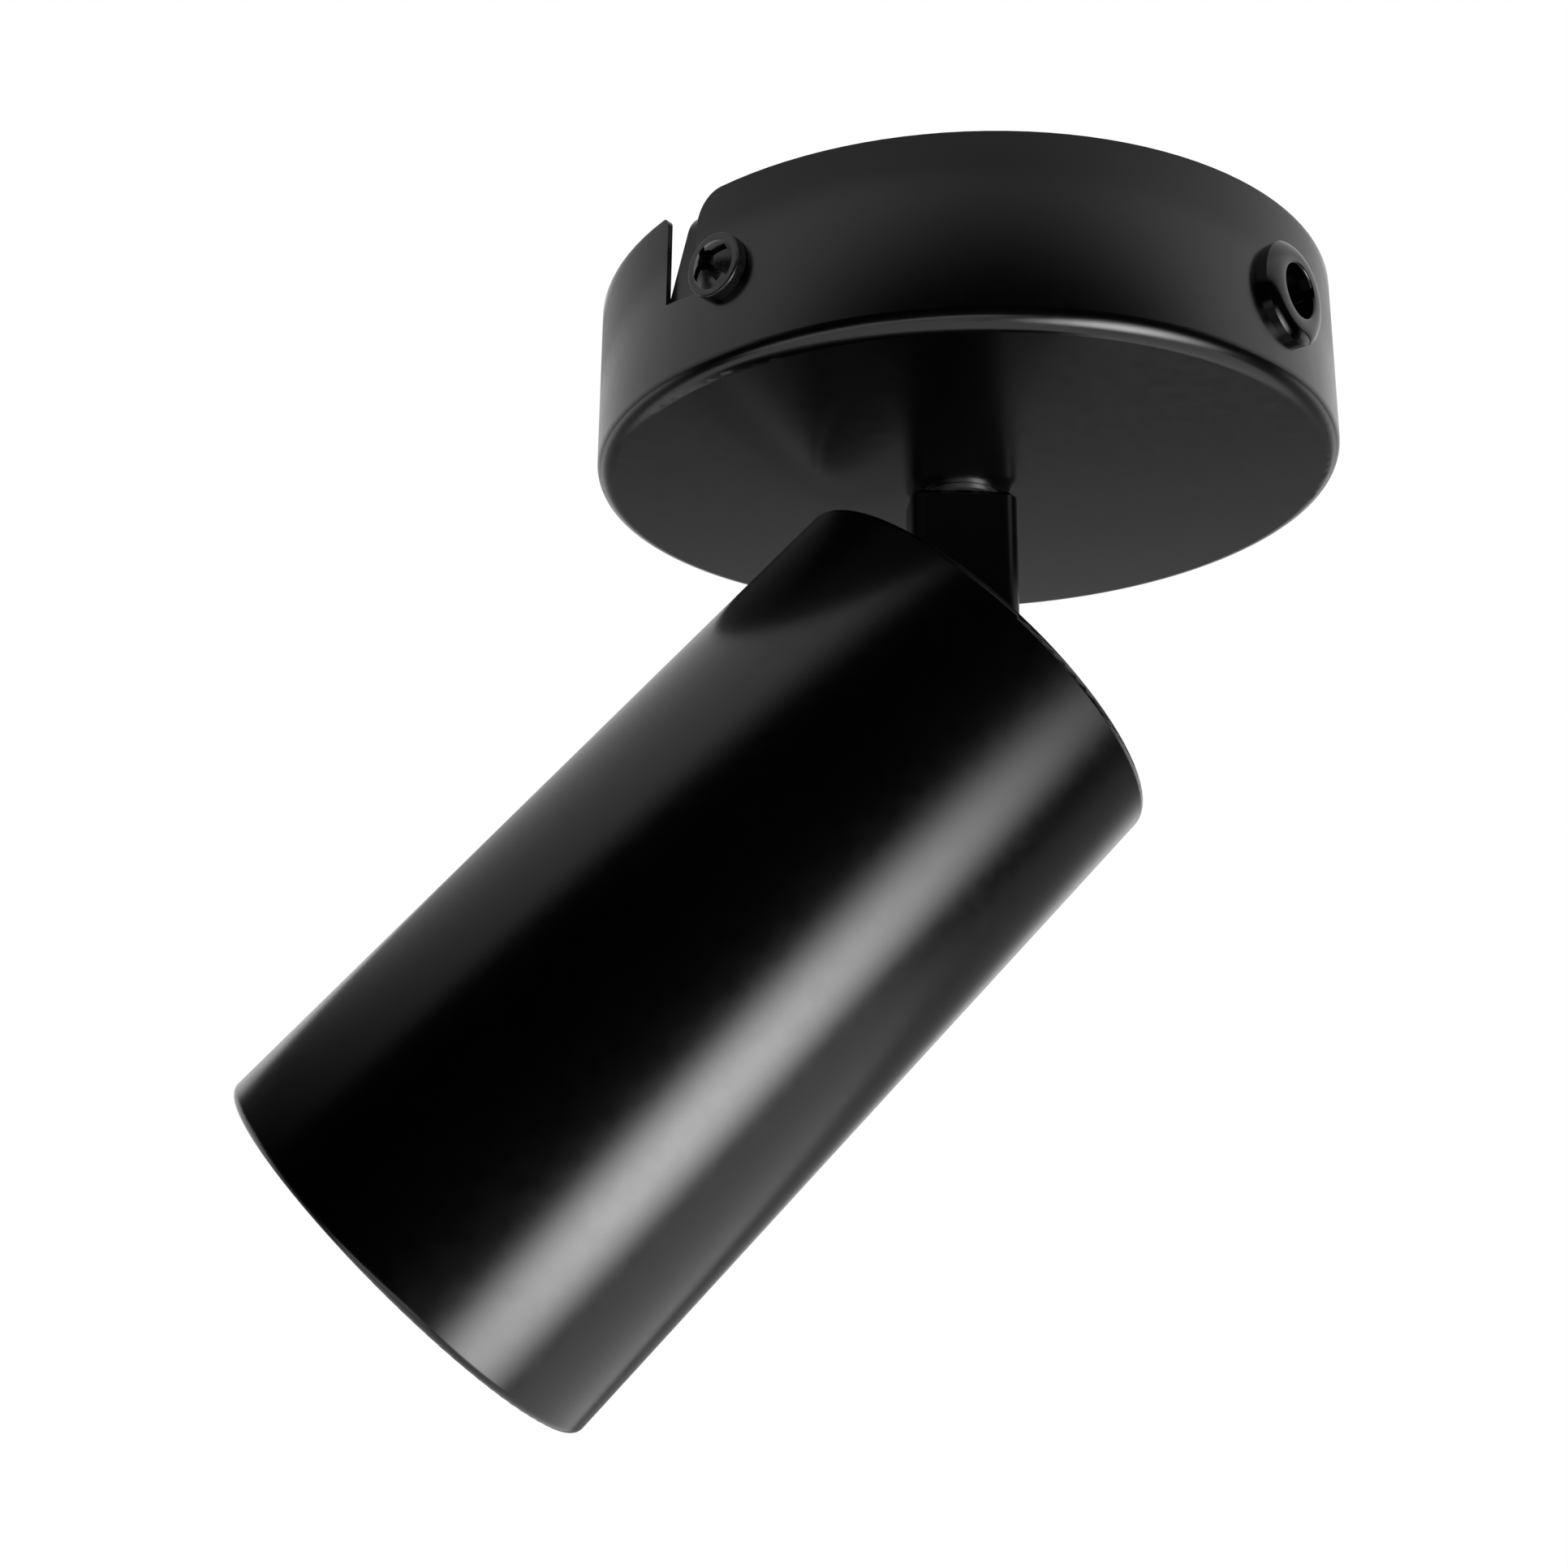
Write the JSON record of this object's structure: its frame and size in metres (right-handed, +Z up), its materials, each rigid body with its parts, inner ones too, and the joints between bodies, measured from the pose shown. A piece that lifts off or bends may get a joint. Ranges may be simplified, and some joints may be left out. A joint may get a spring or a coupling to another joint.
{
  "type": "surface mounted ceiling spotlight",
  "caption": "Black ceiling spotlight: round canopy on a hidden bracket, flat swivelling stem and a tube head that tilts, with a twist-in reflector lamp inside.",
  "frame": {"origin": "centre of the ceiling face, level with the canopy's open rim", "axes": "+Z up into the ceiling; the head tilts in the XZ plane and its front leans towards -X at rest"},
  "size_m": [0.1408, 0.1, 0.1447],
  "materials": {
    "satin_black": "satin black powder coat",
    "black_steel": "black electrophoretic coat",
    "black_screw": "black zinc plate",
    "black_rubber": "glossy moulded",
    "zinc_steel": "bright zinc plate",
    "brass": "bright",
    "white_nylon": "moulded",
    "black_fibre": "moulded",
    "white_sleeve": "braided glass fibre",
    "white_ceramic": "unglazed",
    "lamp_plastic": "moulded",
    "lamp_lens": "frosted",
    "live_lead": "brown insulation",
    "neutral_lead": "blue insulation",
    "earth_lead": "green and yellow insulation"
  },
  "bodies": {
    "canopy": {"canopy_cup": "satin_black", "ceiling_bracket": "black_steel", "bracket_screws": "black_screw", "cable_grommet": "black_rubber", "terminal_block": "white_nylon", "terminal_tubes": "brass", "terminal_screws": "zinc_steel", "terminal_fixing_screw": "zinc_steel", "canopy_earth_tag": "zinc_steel", "canopy_earth_screw": "zinc_steel", "swivel_stop_pin": "zinc_steel", "slip_washer": "black_fibre", "canopy_lead_live": "live_lead", "canopy_lead_neutral": "neutral_lead", "canopy_lead_earth": "earth_lead", "canopy_bond_lead": "earth_lead"},
    "stem": {"swivel_stem": "satin_black", "stem_collar": "zinc_steel", "stop_washer": "zinc_steel", "wave_washer": "zinc_steel", "stem_nut": "zinc_steel", "lead_sleeve": "white_sleeve", "stem_lead_live": "live_lead", "stem_lead_neutral": "neutral_lead", "stem_lead_earth": "earth_lead"},
    "head": {"head_tube": "satin_black", "front_ring": "satin_black", "back_plate": "satin_black", "pivot_fork": "black_steel", "fork_screws": "black_screw", "fork_nuts": "zinc_steel", "pivot_screws": "black_screw", "friction_washers": "black_fibre", "disc_springs": "zinc_steel", "lead_bush": "black_fibre", "holder_bracket": "zinc_steel", "holder_foot_screws": "black_screw", "lampholder": "white_ceramic", "holder_contacts": "brass", "holder_screws": "zinc_steel", "lamp_base": "lamp_plastic", "lamp_pins": "brass", "lamp_body": "lamp_plastic", "lamp_lens": "lamp_lens", "ring_springs": "zinc_steel", "head_earth_tag": "zinc_steel", "head_earth_screw": "zinc_steel", "head_lead_live": "live_lead", "head_lead_neutral": "neutral_lead", "head_lead_earth": "earth_lead"}
  },
  "joints": [
    {"name": "swivel", "type": "hinge", "parent": "canopy", "child": "stem", "pos_m": [0, 0, -0.0238], "axis": [0, 0, 1], "range_deg": [-162, 162]},
    {"name": "tilt", "type": "hinge", "parent": "stem", "child": "head", "pos_m": [0, 0, -0.0503], "axis": [0, 1, 0], "range_deg": [-100, 14]}
  ]
}
